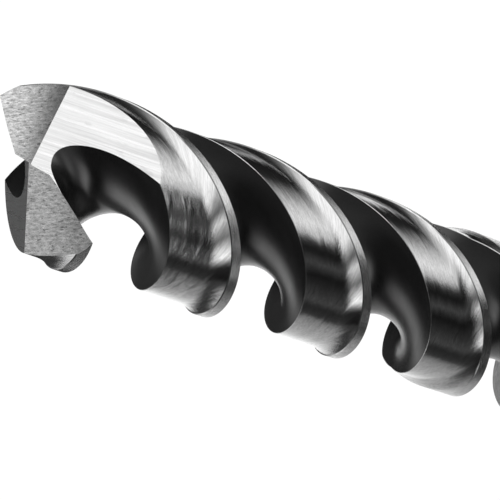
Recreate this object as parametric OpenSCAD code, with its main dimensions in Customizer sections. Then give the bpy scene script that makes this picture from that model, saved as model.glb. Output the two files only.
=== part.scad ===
// Straight-shank twist drill bit, right-hand, two flutes, four-facet point.
// Millimetres. The flat end of the shank stands on Z = 0 and the point is up.

/* [Size] */
// Cutting diameter over the margins
drill_d = 10; // [6:0.5:16]
// Length from the shank end to the tip
overall_l = 133; // [110:1:180]
// Length of the flutes with their run-out
flute_l = 87; // [60:1:105]
// Axial length of one turn of the helix
helix_pitch = 39.1; // [30:0.1:60]

/* [Flutes] */
// Thickness of the web at the tip
web_t = 1.47; // [1:0.01:3]
// Growth of the web for each millimetre towards the shank
web_gain = 0.036; // [0:0.001:0.05]
// Angle from the cutting corner to the deepest line of the flute
flute_lead = 46.5; // [40:0.5:50]
// Share of the flute depth that the rake face falls in its first straight part
rake_fall = 0.4; // [0:0.05:1]
// Share of its width that the rake face moves in over that part
rake_inset = 0.16; // [0:0.01:1]
// Share of its width over which the flute bottom is flat on the rake side
rake_floor = 0.27; // [0.1:0.01:1]
// Share of the flute depth that the heel wall falls in its first straight part
heel_fall = 0.5; // [0:0.05:1]
// Share of its width that the heel wall moves in over that part
heel_inset = 0.4; // [0:0.05:1]
// Share of its width over which the flute bottom is flat on the heel side
heel_floor = 0.48; // [0.1:0.01:1]
// Length over which a flute runs out at the shank
runout_l = 10; // [6:1:20]

/* [Lands] */
// Angle of the land from its cutting corner to its heel
land_angle = 84.8; // [76:0.2:90]
// Width of the margin
margin_w = 0.95; // [0.3:0.05:1.4]
// Step from the margin down to the relieved land
margin_h = 0.06; // [0.04:0.01:0.2]
// Drop of the land at its heel
heel_drop = 0.37; // [0.22:0.01:0.6]
// Drop of the land where the hollow behind the margin begins
hollow_drop = 0.34; // [0.2:0.01:0.6]
// Angle over which the hollow rises to the margin
hollow_angle = 22; // [10:1:40]
// Length of the relieved part of the lands from the tip
relief_l = 59; // [30:1:80]
// Length over which the relief ends
relief_fade = 2.5; // [1:0.5:6]

/* [Point] */
// Included angle of the cutting lips
point_angle = 135; // [118:1:140]
// Relief of the primary facets behind the lips
lip_relief = 15.5; // [8:0.5:20]
// Slope of the secondary facets to the plane across the axis
secondary_slope = 56.5; // [45:0.5:65]
// Angle from the cutting corner to the way a secondary facet falls
secondary_turn = 120.8; // [110:0.2:130]
// Distance from the tip to the plane of a secondary facet
secondary_offset = 0.05; // [0.02:0.01:0.2]
// Angle on the secondary facet from its fall to the way that the gash wall faces
gash_turn = 50.9; // [45:0.1:60]
// Distance from the axis to the gash wall that thins the web
gash_offset = 0.08; // [0.04:0.01:0.2]

/* [Shank] */
// Amount by which the shank is thinner than the cutting diameter
shank_undersize = 0.03; // [0.01:0.01:0.2]
// Chamfer round the shank end
shank_chamfer = 0.5; // [0.2:0.1:1.5]

/* [Hidden] */
R = drill_d / 2;
shank_r = R - shank_undersize / 2;
shank_l = overall_l - flute_l;
shank_sides = 96;
flute_heel = 180 - land_angle - flute_lead;

// Points round the section of one lobe
margin_steps = 2;
land_steps = 5;
hollow_steps = 6;
wall_steps = 8;
margin_angle = margin_w / R * 180 / PI;
step_angle = margin_h / R * 180 / PI;

// Axial layout of the loft, whose root ends just under the surface of the shank
ring_gap = 1;
root_overlap = 0.5;
root_gap = 0.02;
root_r = shank_r - root_gap;
run_limit = 0.995;
tip_overlap = 0.3;
loft_start = shank_l - root_overlap;
loft_end = overall_l + tip_overlap;
rings = ceil((loft_end - loft_start) / ring_gap);

// Planes of the point
lip_fall = 1 / tan(point_angle / 2);
relief_fall = tan(lip_relief);
corner_z = overall_l - R * lip_fall;
primary_slope = atan(norm([lip_fall, relief_fall]));
primary_turn = atan2(relief_fall, lip_fall);
block = 3 * drill_d;

function polar(r, a) = [r * cos(a), r * sin(a)];
function mix(a, b, t) = a + (b - a) * t;
function clamp(t, low, high) = max(low, min(high, t));
function turned(p, a) = [p[0] * cos(a) - p[1] * sin(a), p[0] * sin(a) + p[1] * cos(a)];
function curve(a, b, c, d, t) =
    a * pow(1 - t, 3) + 3 * b * t * pow(1 - t, 2) + 3 * c * t * t * (1 - t) + d * pow(t, 3);

// Share of the run-out that lies behind a height, which lifts and narrows the flute
function run_out(z) = clamp((shank_l + runout_l - z) / runout_l, 0, run_limit);
function web_r(z) = web_t / 2 + web_gain / 2 * (overall_l - max(z, shank_l + runout_l));
function relief(z) = clamp((relief_l + relief_fade - overall_l + z) / relief_fade, 0, 1);

// Land of one lobe, from its heel over the hollow behind the margin to its cutting corner
function land_points(r, lead, heel, drop) =
    let (foot = lead - margin_angle - step_angle, edge = foot - hollow_angle)
    concat(
        [for (i = [0 : land_steps])
            polar(r - drop * mix(heel_drop, hollow_drop, i / land_steps),
                  mix(heel, edge, i / land_steps))],
        [for (i = [1 : hollow_steps])
            polar(r - drop * mix(hollow_drop, margin_h, pow(i / hollow_steps, 2)),
                  mix(edge, foot, i / hollow_steps))],
        [for (i = [0 : margin_steps])
            polar(r, lead - margin_angle * (1 - i / margin_steps))]);

// One side of the flute from its rim to the deepest line, with the flute's middle along X
function wall_points(rim, web, fall, inset, floor_share) =
    [for (i = [0 : wall_steps])
        curve(rim, [mix(rim[0], web, fall), rim[1] * (1 - inset)],
              [web, rim[1] * floor_share], [web, 0], i / wall_steps)];

// Section of one lobe and of the flute in front of it
function lobe(z) =
    let (out = run_out(z),
         narrow = sqrt(1 - out * out),
         r = mix(R, root_r, out),
         web = mix(web_r(z), root_r, out * out),
         lead = flute_lead * (1 - narrow),
         heel = flute_lead - 180 + flute_heel * narrow,
         rake = wall_points(polar(r, -flute_lead * narrow), web,
                            rake_fall, rake_inset, rake_floor),
         back = wall_points(polar(r - relief(z) * heel_drop, flute_heel * narrow), web,
                            heel_fall, heel_inset, heel_floor))
    concat(
        land_points(r, lead, heel, relief(z)),
        [for (i = [1 : wall_steps]) turned(rake[i], flute_lead)],
        [for (i = [wall_steps - 1 : -1 : 1]) turned(back[i], flute_lead)]);

function ring(z) =
    let (half = lobe(z), turn = (z - corner_z) * 360 / helix_pitch)
    [for (a = [turn, turn + 180]) for (p = half)
        let (q = turned(p, a)) [q[0], q[1], z]];

// Loft of the section along the helix, closed by a low peak that the facets grind away
module fluted_rod() {
    count = len(ring(loft_start));
    peak = (rings + 1) * count;
    points = concat(
        [for (k = [0 : rings]) each ring(mix(loft_start, loft_end, k / rings))],
        [[0, 0, loft_end + R]]);
    sides = [for (k = [0 : rings - 1]) for (i = [0 : count - 1])
        let (j = (i + 1) % count, a = k * count, b = a + count)
        each [[a + i, b + i, b + j], [a + i, b + j, a + j]]];
    bottom = [for (i = [0 : count - 1]) i];
    top = [for (i = [0 : count - 1])
        [rings * count + i, peak, rings * count + (i + 1) % count]];
    polyhedron(points, concat([bottom], sides, top));
}

// Everything above the plane that a lip and the ground behind it lie in
module primary_cut(half) {
    translate([0, 0, overall_l])
        rotate([0, primary_slope, half - primary_turn])
            translate([-block, -block, 0])
                cube([2 * block, 2 * block, block]);
}

// Corner of the grinding wheel, whose face relieves the heel and whose side thins the web
module secondary_cut(half) {
    translate([0, 0, overall_l])
        rotate([0, secondary_slope, half - secondary_turn])
            rotate([0, 0, gash_turn])
                translate([gash_offset, -block, secondary_offset])
                    cube([block, 2 * block, block]);
}

module fluted_body() {
    difference() {
        fluted_rod();
        for (half = [0, 180]) {
            primary_cut(half);
            secondary_cut(half);
        }
    }
}

module shank() {
    rotate_extrude($fn = shank_sides)
        polygon([
            [0, 0],
            [shank_r - shank_chamfer, 0],
            [shank_r, shank_chamfer],
            [shank_r, shank_l],
            [0, shank_l]
        ]);
}

module drill_bit() {
    color("silver")
        union() {
            fluted_body();
            shank();
        }
}

drill_bit();
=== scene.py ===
"""Looks of a straight-shank twist drill, standing on the end of its shank with the point up."""

import math

import bpy
from mathutils import Matrix, Vector


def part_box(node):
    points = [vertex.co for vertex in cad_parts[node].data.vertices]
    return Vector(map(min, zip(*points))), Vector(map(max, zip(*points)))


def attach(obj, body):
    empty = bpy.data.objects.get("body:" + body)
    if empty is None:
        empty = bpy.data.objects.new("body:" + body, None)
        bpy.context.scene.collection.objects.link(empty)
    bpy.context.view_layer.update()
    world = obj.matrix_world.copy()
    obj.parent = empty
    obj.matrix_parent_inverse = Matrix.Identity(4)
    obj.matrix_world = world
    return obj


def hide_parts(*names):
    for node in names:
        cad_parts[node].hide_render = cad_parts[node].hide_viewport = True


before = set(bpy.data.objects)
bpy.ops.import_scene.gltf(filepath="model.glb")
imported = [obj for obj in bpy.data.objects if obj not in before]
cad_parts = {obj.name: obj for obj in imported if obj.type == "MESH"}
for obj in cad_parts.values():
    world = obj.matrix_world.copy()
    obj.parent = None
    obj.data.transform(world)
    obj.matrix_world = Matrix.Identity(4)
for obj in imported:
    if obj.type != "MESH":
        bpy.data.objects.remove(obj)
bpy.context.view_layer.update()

# The bar before its point is ground
# The real drill is one bar of high speed steel. Its two flutes and the clearance behind the
# margins are ground along it, and the section turns as the bar moves past the wheel.
low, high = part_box("drill_bit")
overall_length = high[2] - low[2]
cutting_radius = 0.005
flute_length = 0.087
runout_length = 0.010
run_limit = 0.995
root_radius = 0.004965
helix_pitch = 0.0391
web_radius_at_tip = 0.000735
web_growth = 0.018
flute_lead = math.radians(46.5)
land_angle = math.radians(84.8)
flute_heel = math.pi - land_angle - flute_lead
margin_width = 0.00095
margin_step = 0.00006
margin_angle = margin_width / cutting_radius
step_angle = margin_step / cutting_radius
heel_drop = 0.00037
hollow_drop = 0.00034
hollow_angle = math.radians(22)
relief_length = 0.059
relief_fade = 0.0025
edge_width = 0.00003
shank_length = overall_length - flute_length
shank_radius = 0.004985
shank_chamfer = 0.0005
shoulder_height = 0.00002
spare_at_tip = 0.0003
ring_gap = 0.00035
land_steps, hollow_steps, margin_steps, wall_steps = 14, 12, 4, 14

# Shares of its depth that a wall falls first, of its width that it moves in over that part, and
# of its width over which the flute bottom is flat
rake_wall = (0.4, 0.16, 0.27)
heel_wall = (0.5, 0.4, 0.48)

# Parts of the surface, each with its own finish
FLUTE, LAND, HOLLOW, MARGIN, RUNOUT, LIP_FACET, HEEL_FACET, SHANK = range(8)


def mix(a, b, t):
    return a + (b - a) * t


def polar(radius, angle):
    return Vector((radius * math.cos(angle), radius * math.sin(angle)))


def wall_curve(rim, web, fall, inset, floor_share):
    """One side of the flute from its rim to the deepest line, with the flute's middle along X."""
    upper = Vector((mix(rim.x, web, fall), rim.y * (1 - inset)))
    lower = Vector((web, rim.y * floor_share))
    deepest = Vector((web, 0))
    points = []
    for step in range(wall_steps + 1):
        t = step / wall_steps
        points.append(rim * (1 - t) ** 3 + upper * 3 * t * (1 - t) ** 2
                      + lower * 3 * t * t * (1 - t) + deepest * t ** 3)
    return points


def lobe_section(z):
    """Points of one land and the flute in front of it, with the part that follows each point."""
    from_tip = overall_length - z
    out = min(run_limit, max(0, (shank_length + runout_length - z) / runout_length))
    narrow = math.sqrt(1 - out * out)
    relief = min(1, max(0, (relief_length + relief_fade - from_tip) / relief_fade))
    radius = mix(cutting_radius, root_radius, out)
    full_depth = web_radius_at_tip + web_growth * min(from_tip, flute_length - runout_length)
    web = mix(full_depth, root_radius, out * out)
    lead = flute_lead * (1 - narrow)
    heel = flute_lead - math.pi + flute_heel * narrow
    foot = lead - margin_angle - step_angle
    land, hollow = (LAND, HOLLOW) if relief > 0.5 else (MARGIN, MARGIN)
    flute = FLUTE if out == 0 else RUNOUT
    points, parts = [], []
    for step in range(land_steps + 1):
        t = step / land_steps
        angle = mix(heel + edge_width / radius, foot - hollow_angle, t)
        points.append(polar(radius - relief * mix(heel_drop, hollow_drop, t), angle))
        parts.append(land)
    parts[-1] = hollow
    for step in range(1, hollow_steps + 1):
        t = step / hollow_steps
        drop = mix(hollow_drop, margin_step, t * t)
        points.append(polar(radius - relief * drop, foot - hollow_angle * (1 - t)))
        parts.append(hollow)
    for step in range(margin_steps + 1):
        points.append(polar(radius, lead - margin_angle * (1 - step / margin_steps)))
        parts.append(MARGIN)
    parts[-1] = flute
    turn = Matrix.Rotation(flute_lead, 2)
    rake = wall_curve(polar(radius, -flute_lead * narrow), web, *rake_wall)
    back = wall_curve(polar(radius - relief * heel_drop, flute_heel * narrow), web, *heel_wall)
    for point in rake[1:] + back[-2:0:-1]:
        points.append(turn @ point)
        parts.append(flute)
    inward = back[1] - back[0]
    points.append(turn @ (back[0] + inward.normalized() * min(edge_width, inward.length / 2)))
    parts.append(MARGIN)
    return points, parts


def bar_mesh(name, rings, ring_parts, heights):
    """Closed mesh of untwisted rings, with its parts and a map of widths and heights."""
    count = len(rings[0])
    heels = (0, count // 2)
    corners = [(p.x, p.y, z) for ring, z in zip(rings, heights) for p in ring]
    faces, face_parts, widths = [], [], []
    for k in range(len(rings) - 1):
        for i in range(count):
            j = (i + 1) % count
            a, b = k * count, (k + 1) * count
            from_heel = 0.0 if i in heels else to_next
            to_next = from_heel + (rings[k + 1][j] - rings[k + 1][i]).length
            faces.append((a + i, a + j, b + j, b + i))
            face_parts.append(ring_parts[k][i])
            widths.append([(from_heel, heights[k]), (to_next, heights[k]),
                           (to_next, heights[k + 1]), (from_heel, heights[k + 1])])
    for k, order in ((0, -1), (len(rings) - 1, 1)):
        middle = len(corners)
        corners.append((0, 0, heights[k]))
        for i in range(count):
            j = (i + 1) % count
            pair = (k * count + i, k * count + j)[::order]
            faces.append((*pair, middle))
            face_parts.append(ring_parts[k][i])
            widths.append([(0, heights[k])] * 3)
    mesh = bpy.data.meshes.new(name)
    mesh.from_pydata(corners, [], faces)
    part = mesh.attributes.new("part", "INT", "FACE")
    part.data.foreach_set("value", face_parts)
    surface = mesh.uv_layers.new(name="surface")
    surface.data.foreach_set("uv", [v for face in widths for corner in face for v in corner])
    return mesh


first_lobe, _ = lobe_section(shank_length)
shank_rim = [polar(shank_radius, math.atan2(p.y, p.x))
             for p in first_lobe + [-p for p in first_lobe]]
shank_end = [p * (1 - shank_chamfer / shank_radius) for p in shank_rim]
heights = [0, shank_chamfer, shank_length - shoulder_height]
rings = [shank_end, shank_rim, shank_rim]
ring_parts = [[SHANK] * len(shank_rim)] * 3
flutes_end = overall_length + spare_at_tip
ring_count = round((flutes_end - shank_length) / ring_gap)
for k in range(ring_count + 1):
    height = mix(shank_length, flutes_end, k / ring_count)
    lobe, lobe_parts = lobe_section(height)
    heights.append(height)
    rings.append(lobe + [-point for point in lobe])
    ring_parts.append(lobe_parts * 2)
straight_bar = bar_mesh("straight_bar", rings, ring_parts, heights)

# Finishes of the bar
# The lands, margins, point and shank are bare ground steel. The flutes keep the black oxide
# that is grown on them in steam, and the run-out, which is cut last, is bare and rough.
point_angle = math.radians(135)
lip_relief = math.radians(15.5)
lip_fall = 1 / math.tan(point_angle / 2)
relief_fall = math.tan(lip_relief)
corner_height = overall_length - cutting_radius * lip_fall
lip_facet_slope = math.atan(math.hypot(lip_fall, relief_fall))
lip_facet_turn = math.atan2(relief_fall, lip_fall)
heel_facet_slope = math.radians(56.5)
heel_facet_turn = math.radians(120.8)
lip_line_bearing = math.radians(54)
heel_line_bearing = math.radians(52)
hollow_line_turn = math.radians(80)
scratch_turn = math.radians(50)

# Waves and scratches a metre, across and along the wheel's lines, and the flecks' stretch
wave_scale = (800, 480, 480)
scratch_scale = (900, 170, 170)
fleck_stretch = (1.0, 0.3, 0.3)


def node(tree, kind, feeds=None, **settings):
    """New node with its settings, and its sockets linked or filled by name or number."""
    made = tree.nodes.new(kind)
    for name, value in settings.items():
        setattr(made, name, value)
    for socket, feed in (feeds or {}).items():
        if isinstance(feed, bpy.types.NodeSocket):
            tree.links.new(feed, made.inputs[socket])
        else:
            made.inputs[socket].default_value = feed
    return made


def math_node(tree, operation, a, b=0.0, clamp=False):
    return node(tree, "ShaderNodeMath", {0: a, 1: b}, operation=operation,
                use_clamp=clamp).outputs[0]


def graded(tree, value, start=0.0, end=1.0, first=0.0, last=1.0):
    """Value led from first at start to last at end, and held beyond them."""
    return node(tree, "ShaderNodeMapRange",
                {"Value": value, "From Min": start, "From Max": end,
                 "To Min": first, "To Max": last}).outputs[0]


def stretched(tree, vector, scale):
    return node(tree, "ShaderNodeVectorMath", {0: vector, 1: scale},
                operation="MULTIPLY").outputs[0]


def turned_in_plane(tree, vector, angle):
    return node(tree, "ShaderNodeVectorRotate", {"Vector": vector, "Angle": angle},
                rotation_type="Z_AXIS").outputs[0]


def noise(tree, vector, scale=1.0, detail=1.0, roughness=0.5, distortion=0.0):
    return node(tree, "ShaderNodeTexNoise",
                {"Vector": vector, "Scale": scale, "Detail": detail, "Roughness": roughness,
                 "Distortion": distortion}).outputs[0]


def grain_group():
    """Lines that a wheel leaves along Y of its vector, with flecks, broad waves and scratches."""
    tree = bpy.data.node_groups.new("grinding_grain", "ShaderNodeTree")
    tree.interface.new_socket("Vector", in_out="INPUT", socket_type="NodeSocketVector")
    for name, value in (("Lines per metre", 9000), ("Length ratio", 0.1), ("Fleck size", 3000)):
        socket = tree.interface.new_socket(name, in_out="INPUT", socket_type="NodeSocketFloat")
        socket.default_value = value
    for name in ("Grain", "Flecks", "Waves", "Scratches"):
        tree.interface.new_socket(name, in_out="OUTPUT", socket_type="NodeSocketFloat")
    given = node(tree, "NodeGroupInput").outputs

    across, along, deep = node(tree, "ShaderNodeSeparateXYZ", {0: given["Vector"]}).outputs
    lines_along = math_node(tree, "MULTIPLY", given["Lines per metre"], given["Length ratio"])
    lines = node(tree, "ShaderNodeCombineXYZ", {
        0: math_node(tree, "MULTIPLY", across, given["Lines per metre"]),
        1: math_node(tree, "MULTIPLY", along, lines_along),
        2: math_node(tree, "MULTIPLY", deep, lines_along)}).outputs[0]
    coarse = noise(tree, lines, scale=0.35, detail=3, roughness=0.6)
    fine = noise(tree, lines, scale=1.3, detail=4, roughness=0.7)
    grain = graded(tree, math_node(tree, "ADD", coarse, fine), 0.7, 1.3)

    short = stretched(tree, given["Vector"], fleck_stretch)
    spots = node(tree, "ShaderNodeVectorMath", {0: short, "Scale": given["Fleck size"]},
                 operation="SCALE").outputs[0]
    flecks = graded(tree, noise(tree, spots, detail=3, roughness=0.6), 0.6, 0.72)

    broad = stretched(tree, given["Vector"], wave_scale)
    waves = noise(tree, broad, roughness=0.4, distortion=0.6)

    slanted = turned_in_plane(tree, given["Vector"], scratch_turn)
    hair = noise(tree, stretched(tree, slanted, scratch_scale))
    beside = math_node(tree, "ABSOLUTE", math_node(tree, "SUBTRACT", hair, 0.5))
    scratches = math_node(tree, "MULTIPLY", graded(tree, beside, 0.004, 0.010, 1.0, 0.0),
                          graded(tree, waves, 0.52, 0.60))
    node(tree, "NodeGroupOutput",
         {"Grain": grain, "Flecks": flecks, "Waves": waves, "Scratches": scratches})
    return tree


grinding_grain = grain_group()


def new_material(name):
    material = bpy.data.materials.new(name)
    material.use_nodes = True
    return material, material.node_tree, material.node_tree.nodes["Principled BSDF"]


def surface_map(tree):
    return node(tree, "ShaderNodeUVMap", uv_map="surface").outputs[0]


def round_surface_map(tree):
    """Surface map turned so that the wheel's lines run round the drill."""
    return turned_in_plane(tree, surface_map(tree), hollow_line_turn)


def object_place(tree):
    return node(tree, "ShaderNodeTexCoord").outputs["Object"]


def facet_map(slope, turn, line_bearing, facing):
    """Map of a facet, across the wheel's lines and along them, alike on both half turns."""
    normal = Matrix.Rotation(-turn, 3, "Z") @ Matrix.Rotation(slope, 3, "Y") @ Vector((0, 0, 1))
    level = Vector((math.cos(line_bearing), math.sin(line_bearing), 0))
    line = (level - normal * level.dot(normal)).normalized()

    def place(tree):
        coordinate = node(tree, "ShaderNodeTexCoord").outputs
        x, y, z = node(tree, "ShaderNodeSeparateXYZ", {0: coordinate["Object"]}).outputs
        side = node(tree, "ShaderNodeSeparateXYZ", {0: coordinate["Normal"]}).outputs[0]
        sign = math_node(tree, "SIGN", math_node(tree, "MULTIPLY", side, facing))
        point = node(tree, "ShaderNodeCombineXYZ", {
            0: math_node(tree, "MULTIPLY", x, sign), 1: math_node(tree, "MULTIPLY", y, sign),
            2: math_node(tree, "SUBTRACT", z, overall_length)}).outputs[0]
        across, along = (node(tree, "ShaderNodeVectorMath", {0: point, 1: way},
                              operation="DOT_PRODUCT").outputs["Value"]
                         for way in (normal.cross(line), line))
        return node(tree, "ShaderNodeCombineXYZ", {0: across, 1: along}).outputs[0]
    return place


def grain_outputs(tree, vector, lines, ratio, fleck):
    return node(tree, "ShaderNodeGroup", {0: vector, 1: lines, 2: ratio, 3: fleck},
                node_tree=grinding_grain).outputs


def grey(tree, value, dark, light):
    """Neutral colour between two greys."""
    level = graded(tree, value, first=dark, last=light)
    return node(tree, "ShaderNodeCombineColor", {0: level, 1: level, 2: level}).outputs[0]


def finish(tree, shader, colour, roughness, height, depth, strength):
    bump = node(tree, "ShaderNodeBump",
                {"Height": height, "Distance": depth, "Strength": strength})
    tree.links.new(colour, shader.inputs["Base Color"])
    tree.links.new(roughness, shader.inputs["Roughness"])
    tree.links.new(bump.outputs[0], shader.inputs["Normal"])


def ground_steel(name, place, lines, ratio, fleck, greys, roughness, depth, strength,
                 specks=0.5, patches=0.0, hairs=0.0, waviness=0.0, bow=0.0):
    """Bare steel with a wheel's grain, flecks, patches, scratches and an uneven surface."""
    material, tree, shader = new_material(name)
    shader.inputs["Metallic"].default_value = 1.0
    vector = place(tree)
    grain, flecks, waves, scratches = grain_outputs(tree, vector, lines, ratio, fleck)
    worn = math_node(tree, "SUBTRACT", grain, math_node(tree, "MULTIPLY", flecks, specks), True)
    worn = math_node(tree, "SUBTRACT", worn, math_node(tree, "MULTIPLY", scratches, hairs))
    patch = math_node(tree, "MULTIPLY", math_node(tree, "SUBTRACT", waves, 0.5), patches)
    worn = math_node(tree, "ADD", worn, patch, True)
    smooth, dull = roughness
    rise = math_node(tree, "ADD", math_node(tree, "MULTIPLY", grain, depth),
                     math_node(tree, "MULTIPLY", waves, waviness))
    if bow:
        along = node(tree, "ShaderNodeSeparateXYZ", {0: vector}).outputs[1]
        square = math_node(tree, "MULTIPLY", along, along)
        rise = math_node(tree, "SUBTRACT", rise, math_node(tree, "MULTIPLY", square, bow))
    finish(tree, shader, grey(tree, worn, *greys),
           graded(tree, grain, first=dull, last=smooth), rise, 1.0, strength)
    return material


land_steel = ground_steel(
    "ground_land", surface_map, lines=14000, ratio=0.6, fleck=6000, greys=(0.60, 0.95),
    roughness=(0.04, 0.10), depth=0.000004, strength=0.35, patches=0.9, hairs=0.9,
    waviness=0.00006)
hollow_steel = ground_steel(
    "ground_hollow", round_surface_map, lines=9000, ratio=0.14, fleck=3500, greys=(0.62, 0.94),
    roughness=(0.06, 0.11), depth=0.000007, strength=0.4, patches=0.6, waviness=0.00004)
margin_steel = ground_steel(
    "ground_margin", surface_map, lines=14000, ratio=0.7, fleck=14000, greys=(0.60, 1.00),
    roughness=(0.14, 0.24), depth=0.000007, strength=0.5, specks=1.0, patches=1.0)
shank_steel = ground_steel(
    "ground_shank", object_place, lines=2500, ratio=0.08, fleck=2500, greys=(0.62, 0.80),
    roughness=(0.18, 0.30), depth=0.000010, strength=0.25)
bare_runout = ground_steel(
    "bare_runout", surface_map, lines=4000, ratio=0.5, fleck=3500, greys=(0.50, 0.85),
    roughness=(0.36, 0.50), depth=0.00003, strength=0.6, patches=0.6)
lip_facet = ground_steel(
    "ground_lip_facet", facet_map(lip_facet_slope, lip_facet_turn, lip_line_bearing, 1.0),
    lines=22000, ratio=0.35, fleck=9000, greys=(0.20, 0.82), roughness=(0.24, 0.34),
    depth=0.000004, strength=0.6, specks=1.8, patches=0.4, bow=70.0)
heel_facet = ground_steel(
    "ground_heel_facet", facet_map(heel_facet_slope, heel_facet_turn, heel_line_bearing, -1.0),
    lines=9000, ratio=0.015, fleck=1500, greys=(0.62, 0.98), roughness=(0.24, 0.34),
    depth=0.00001, strength=0.4)

black_oxide, tree, shader = new_material("black_oxide")
shader.inputs["IOR"].default_value = 1.75
grain = grain_outputs(tree, surface_map(tree), lines=2500, ratio=0.15, fleck=1500)["Grain"]
finish(tree, shader, grey(tree, grain, 0.003, 0.006),
       graded(tree, grain, first=0.18, last=0.26), grain, depth=0.00001, strength=0.05)

finishes = {FLUTE: black_oxide, LAND: land_steel, HOLLOW: hollow_steel, MARGIN: margin_steel,
            RUNOUT: bare_runout, LIP_FACET: lip_facet, HEEL_FACET: heel_facet,
            SHANK: shank_steel}

# The ground and twisted drill
# A point grinder takes four flats off the end: two that make the lips, and two behind them
# whose wheel corner also thins the web. The flutes turn to the right along the bar.
drill_sizes = {
    "Helix pitch": helix_pitch,
    "Shank length": shank_length,
    "Corner height": corner_height,
    "Tip height": overall_length,
    "Lip slope": lip_facet_slope,
    "Lip turn": lip_facet_turn,
    "Heel slope": heel_facet_slope,
    "Heel turn": heel_facet_turn,
    "Heel depth": 0.00005,
    "Gash turn": math.radians(50.9),
    "Gash offset": -0.00002,
    "Wheel size": 0.02,
    "Sharp edge": math.radians(28),
}


def drill_tree():
    """Twists the bar, grinds its point and gives each part of the surface its finish."""
    tree = bpy.data.node_groups.new("twist_and_point", "GeometryNodeTree")
    tree.interface.new_socket("Bar", in_out="INPUT", socket_type="NodeSocketGeometry")
    for name in drill_sizes:
        tree.interface.new_socket(name, in_out="INPUT", socket_type="NodeSocketFloat")
    for part in finishes:
        tree.interface.new_socket(f"Finish {part}", in_out="INPUT",
                                  socket_type="NodeSocketMaterial")
    tree.interface.new_socket("Drill", in_out="OUTPUT", socket_type="NodeSocketGeometry")
    given = node(tree, "NodeGroupInput").outputs

    def vector_of(x=0.0, y=0.0, z=0.0):
        return node(tree, "ShaderNodeCombineXYZ", {0: x, 1: y, 2: z}).outputs[0]

    def moved(geometry, shift=(0, 0, 0), turn=(0, 0, 0)):
        return node(tree, "GeometryNodeTransform", {
            "Geometry": geometry, "Translation": shift, "Rotation": turn}).outputs[0]

    place = node(tree, "GeometryNodeInputPosition").outputs[0]
    height = node(tree, "ShaderNodeSeparateXYZ", {0: place}).outputs[2]
    fluted = math_node(tree, "MAXIMUM", height, given["Shank length"])
    above_corner = math_node(tree, "SUBTRACT", fluted, given["Corner height"])
    turns = math_node(tree, "DIVIDE", above_corner, given["Helix pitch"])
    angle = math_node(tree, "MULTIPLY", turns, 2 * math.pi)
    twisted = node(tree, "GeometryNodeSetPosition", {
        "Geometry": given["Bar"],
        "Position": turned_in_plane(tree, place, angle)}).outputs[0]

    size = given["Wheel size"]
    width = math_node(tree, "MULTIPLY", size, 2)
    block = node(tree, "GeometryNodeMeshCube",
                 {"Size": vector_of(width, width, width)}).outputs[0]
    lip_wheel = moved(block, vector_of(z=size))
    heel_wheel = moved(block, vector_of(x=math_node(tree, "ADD", size, given["Gash offset"]),
                                        z=math_node(tree, "ADD", size, given["Heel depth"])))
    heel_wheel = moved(heel_wheel, turn=vector_of(z=given["Gash turn"]))
    ground = node(tree, "GeometryNodeMeshBoolean", {"Mesh 1": twisted},
                  operation="DIFFERENCE", solver="MANIFOLD")
    for half in (0.0, math.pi):
        for wheel, facet, part in ((lip_wheel, "Lip", LIP_FACET),
                                   (heel_wheel, "Heel", HEEL_FACET)):
            spin = math_node(tree, "SUBTRACT", half, given[f"{facet} turn"])
            laid = moved(wheel, vector_of(z=given["Tip height"]),
                         vector_of(y=given[f"{facet} slope"], z=spin))
            stone = node(tree, "GeometryNodeStoreNamedAttribute",
                         {"Geometry": laid, "Name": "part", "Value": part},
                         data_type="INT", domain="FACE").outputs[0]
            tree.links.new(stone, ground.inputs["Mesh 2"])

    smooth = node(tree, "GeometryNodeSetShadeSmooth", {"Geometry": ground.outputs[0]},
                  domain="FACE").outputs[0]
    fold = node(tree, "GeometryNodeInputMeshEdgeAngle").outputs[0]
    sharp = node(tree, "FunctionNodeCompare", {0: fold, 1: given["Sharp edge"]},
                 operation="GREATER_THAN").outputs[0]
    shaded = node(tree, "GeometryNodeSetShadeSmooth",
                  {"Geometry": smooth, "Selection": sharp, "Shade Smooth": False},
                  domain="EDGE").outputs[0]
    whole = node(tree, "GeometryNodeRealizeInstances", {"Geometry": shaded}).outputs[0]
    part_of = node(tree, "GeometryNodeInputNamedAttribute", {"Name": "part"},
                   data_type="INT").outputs[0]
    for part in finishes:
        here = node(tree, "FunctionNodeCompare", data_type="INT", operation="EQUAL")
        tree.links.new(part_of, here.inputs[2])
        here.inputs[3].default_value = part
        whole = node(tree, "GeometryNodeSetMaterial", {
            "Geometry": whole, "Selection": here.outputs[0],
            "Material": given[f"Finish {part}"]}).outputs[0]
    node(tree, "NodeGroupOutput", {"Drill": whole})
    return tree


blank = bpy.data.objects.new("drill_blank", straight_bar)
bpy.context.scene.collection.objects.link(blank)
grinder = blank.modifiers.new("point_grinder", "NODES")
grinder.node_group = drill_tree()
values = drill_sizes | {f"Finish {part}": finishes[part] for part in finishes}
for item in grinder.node_group.interface.items_tree:
    if item.in_out == "INPUT" and item.name in values:
        grinder[item.identifier] = values[item.name]

ready = blank.evaluated_get(bpy.context.evaluated_depsgraph_get())
drill_mesh = bpy.data.meshes.new_from_object(ready)
drill_mesh.name = "drill"
blank.modifiers.remove(grinder)
bpy.data.objects.remove(blank)
drill = bpy.data.objects.new("drill", drill_mesh)
bpy.context.scene.collection.objects.link(drill)
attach(drill, "root")
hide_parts("drill_bit")

# White card under the drill
# The drill stands on a matt white card, which is laid flat and is not fixed. The camera sees it
# as a plain white ground with the drill's faint shadow on it.
card_reach = 1.5
card_sink = 0.00002
card_grey = 0.8
card_light = 1.1
card_light_share = 0.85


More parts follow.
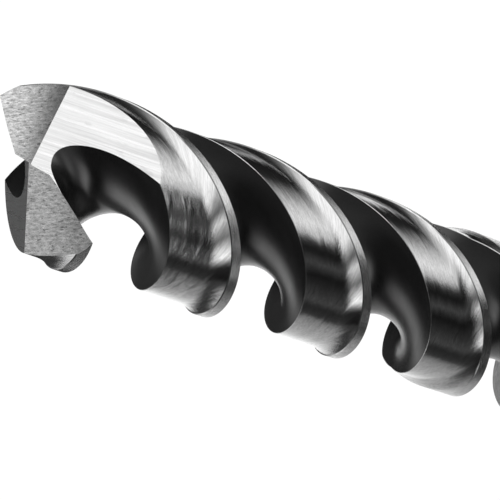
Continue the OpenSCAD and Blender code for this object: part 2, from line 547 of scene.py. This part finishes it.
def seen_share(tree):
    """1 for the rays that show a surface to the camera, and 0 for those that only carry light."""
    ray = node(tree, "ShaderNodeLightPath").outputs
    mirrored = math_node(tree, "MAXIMUM", ray["Is Glossy Ray"], ray["Is Transmission Ray"])
    return math_node(tree, "MAXIMUM", ray["Is Camera Ray"], mirrored)


floor_mesh = bpy.data.meshes.new("white_card")
floor_mesh.from_pydata([(x * card_reach, y * card_reach, -card_sink)
                        for x, y in ((-1, -1), (1, -1), (1, 1), (-1, 1))], [], [(0, 1, 2, 3)])
floor = bpy.data.objects.new("white_card", floor_mesh)
bpy.context.scene.collection.objects.link(floor)
white_card, tree, shader = new_material("white_card")
shader.inputs["Base Color"].default_value = (card_grey, card_grey, card_grey, 1)
shader.inputs["Roughness"].default_value = 1.0
shader.inputs["Specular IOR Level"].default_value = 0.0
white = node(tree, "ShaderNodeEmission", {"Color": (1, 1, 1, 1), "Strength": card_light})
share = math_node(tree, "MULTIPLY", seen_share(tree), card_light_share)
mixed = node(tree, "ShaderNodeMixShader", {0: share, 1: shader.outputs[0], 2: white.outputs[0]})
tree.links.new(mixed.outputs[0], tree.nodes["Material Output"].inputs[0])
floor_mesh.materials.append(white_card)

# Studio cards round the drill
# Pale and dark cards lie round the drill and stand behind it, out of the picture. Only the
# steel mirrors them, and they give it the hard light and dark bands of the photograph.
shell_sides = 96
shell_radius = 0.8
shell_height = 1.2
shell_sink = 0.00001
display_gamma = 2.2
studio_light = 1.25


def strip_group(name, strips):
    """Light of the cards round the drill, from brightness as displayed by bearing in degrees."""
    tree = bpy.data.node_groups.new(name, "ShaderNodeTree")
    tree.interface.new_socket("Vector", in_out="INPUT", socket_type="NodeSocketVector")
    tree.interface.new_socket("Strips", in_out="OUTPUT", socket_type="NodeSocketFloat")
    given = node(tree, "NodeGroupInput").outputs
    parts = node(tree, "ShaderNodeSeparateXYZ", {0: given[0]}).outputs
    angle = math_node(tree, "ARCTAN2", parts[1], parts[0])
    share = math_node(tree, "FRACT", math_node(tree, "DIVIDE", angle, 2 * math.pi))
    ramp = node(tree, "ShaderNodeValToRGB", {0: share})
    points = ramp.color_ramp.elements
    for bearing, value in strips.items():
        point = points[0] if bearing == 0 else points.new(bearing / 360)
        point.color = (value, value, value, 1)
    points[-1].color = points[0].color
    light = math_node(tree, "POWER", ramp.outputs[0], display_gamma)
    node(tree, "NodeGroupOutput", {"Strips": light})
    return tree


# Flat cards beside the drill, which the lands mirror
near_cards = strip_group("near_cards", {
    0: 0.5, 5: 0.15, 30: 0.1, 40: 1.0, 55: 0.95, 90: 0.65, 125: 0.5, 135: 0.4, 140: 0.2,
    155: 0.15, 165: 0.25, 200: 0.1, 215: 0.25, 230: 0.1, 240: 0.2, 250: 0.7, 265: 0.85,
    285: 0.7, 305: 0.4, 315: 0.15, 350: 0.1, 355: 0.75})
near_edge = (0.067, 0.072)

# Flat cards further out, which the hollows behind the margins and the flutes mirror
far_cards = strip_group("far_cards", {
    0: 0.15, 45: 0.25, 55: 0.3, 70: 0.8, 115: 0.8, 130: 0.6, 145: 0.1, 160: 0.15, 170: 0.95,
    180: 0.8, 190: 0.4, 205: 0.8, 215: 0.35, 230: 0.9, 250: 0.95, 285: 0.95, 310: 0.35,
    325: 0.15})

# Dark card over a part of both, which the first flute mirrors under the point
dark_card = strip_group("dark_card", {0: 0.2, 145: 0.2, 160: 1.0, 340: 1.0})
dark_start = (0.0575, 0.059)
dark_end = (0.09, 0.1)

# Small pale card close to the drill, which the rearmost land in the picture mirrors
small_card_place = (0.033, 0.001, 0)
small_card_edge = (0.007, 0.012)
small_card_light = 0.85

# Flat cards past all these, which the walls of the flutes mirror
outer_cards = strip_group("outer_cards", {
    0: 0.2, 5: 0.2, 15: 0.6, 30: 0.6, 40: 0.2, 55: 0.2, 70: 0.55, 85: 0.2, 165: 0.2,
    190: 0.5, 225: 0.5, 235: 0.95, 260: 0.95, 290: 0.5, 325: 0.4, 335: 0.2})
outer_start = (0.13, 0.16)

# Standing cards, which the facets of the point mirror
high_cards = strip_group("high_cards", {
    0: 1.0, 15: 1.05, 90: 0.8, 125: 0.75, 140: 0.4, 225: 0.4, 235: 0.95, 260: 0.95,
    290: 0.35, 320: 0.15, 345: 0.15})
high_start = (0.02, 0.12)

circle = [polar(shell_radius, 2 * math.pi * k / shell_sides) for k in range(shell_sides)]
corners = [(p.x, p.y, z) for z in (-shell_sink, shell_height) for p in circle]
shell_mesh = bpy.data.meshes.new("studio_cards")
shell_mesh.from_pydata(corners, [], [tuple(range(shell_sides))] + [
    (k, shell_sides + k, shell_sides + (k + 1) % shell_sides, (k + 1) % shell_sides)
    for k in range(shell_sides)])
shell = bpy.data.objects.new("studio_cards", shell_mesh)
for kind in ("camera", "diffuse", "transmission", "volume_scatter", "shadow"):
    setattr(shell, f"visible_{kind}", False)
bpy.context.scene.collection.objects.link(shell)
studio_cards, tree, shader = new_material("studio_cards")
place = object_place(tree)


def cards_of(group):
    return node(tree, "ShaderNodeGroup", {0: place}, node_tree=group).outputs[0]


def blend(share, a, b):
    return node(tree, "ShaderNodeMix", {0: share, 2: a, 3: b}, data_type="FLOAT").outputs[0]


height = node(tree, "ShaderNodeSeparateXYZ", {0: place}).outputs[2]
distance = node(tree, "ShaderNodeVectorMath", {0: place}, operation="LENGTH").outputs["Value"]
laid = blend(graded(tree, distance, *near_edge), cards_of(near_cards), cards_of(far_cards))
dark_share = math_node(tree, "MULTIPLY", graded(tree, distance, *dark_start),
                       graded(tree, distance, *dark_end, first=1.0, last=0.0))
laid = blend(dark_share, laid, math_node(tree, "MINIMUM", laid, cards_of(dark_card)))
beside = node(tree, "ShaderNodeVectorMath", {0: place, 1: small_card_place},
              operation="DISTANCE").outputs["Value"]
small_card = graded(tree, beside, *small_card_edge, first=small_card_light, last=0.0)
laid = math_node(tree, "MAXIMUM", laid, small_card)
laid = blend(graded(tree, distance, *outer_start), laid, cards_of(outer_cards))
shine = blend(graded(tree, height, *high_start), laid, cards_of(high_cards))
strength = math_node(tree, "MULTIPLY", shine, studio_light)
glow = node(tree, "ShaderNodeEmission", {"Color": (1, 1, 1, 1), "Strength": strength})
tree.links.new(glow.outputs[0], tree.nodes["Material Output"].inputs[0])
shell_mesh.materials.append(studio_cards)

# Room, lamps and camera
# The room is plain white. One soft lamp stands at the side and one hangs above, and the camera
# looks down past the point, a little off the drill's axis.
room_light = 0.75
room_brightness = 1.0
lamp_aim = Vector((0, 0, 0.1))
world = bpy.data.worlds.new("room")
bpy.context.scene.world = world
world.use_nodes = True
tree = world.node_tree
background = tree.nodes["Background"]
background.inputs["Color"].default_value = (1, 1, 1, 1)
tree.links.new(blend(seen_share(tree), room_light, room_brightness),
               background.inputs["Strength"])


def soft_lamp(name, azimuth, elevation, distance, width, radiance):
    """Square lamp that points at the drill from a bearing and a height in degrees."""
    lamp = bpy.data.lights.new(name, "AREA")
    lamp.shape = "SQUARE"
    lamp.size = width
    lamp.energy = math.pi * width * width * radiance
    made = bpy.data.objects.new(name, lamp)
    side, rise = math.radians(azimuth), math.radians(elevation)
    way = Vector((math.cos(side) * math.cos(rise), math.sin(side) * math.cos(rise),
                  math.sin(rise)))
    made.location = lamp_aim + way * distance
    made.rotation_euler = way.to_track_quat("Z", "Y").to_euler()
    made.visible_camera = False
    bpy.context.scene.collection.objects.link(made)


soft_lamp("side_lamp", azimuth=255, elevation=30, distance=0.6, width=0.3, radiance=1.0)
soft_lamp("top_lamp", azimuth=60, elevation=65, distance=0.6, width=0.25, radiance=1.0)

frame_pixels = 500
focal_pixels = 7240.87
camera_place = Vector((-0.1376344, -0.0985002, 0.4805100))
rightward = Vector((-0.50999, -0.76867, -0.38607))
upward = Vector((0.79382, -0.59344, 0.13293))
backward = Vector((-0.33129, -0.23868, 0.91284))
camera_data = bpy.data.cameras.new("camera")
camera_data.sensor_width = 36
camera_data.lens = focal_pixels * camera_data.sensor_width / frame_pixels
camera_data.clip_start = 0.01
camera_data.clip_end = 20
camera = bpy.data.objects.new("camera", camera_data)
aim = Matrix((rightward, upward, backward)).transposed().to_4x4()
camera.matrix_world = Matrix.Translation(camera_place) @ aim
bpy.context.scene.collection.objects.link(camera)
bpy.context.scene.camera = camera
bpy.context.scene.view_settings.view_transform = "Standard"
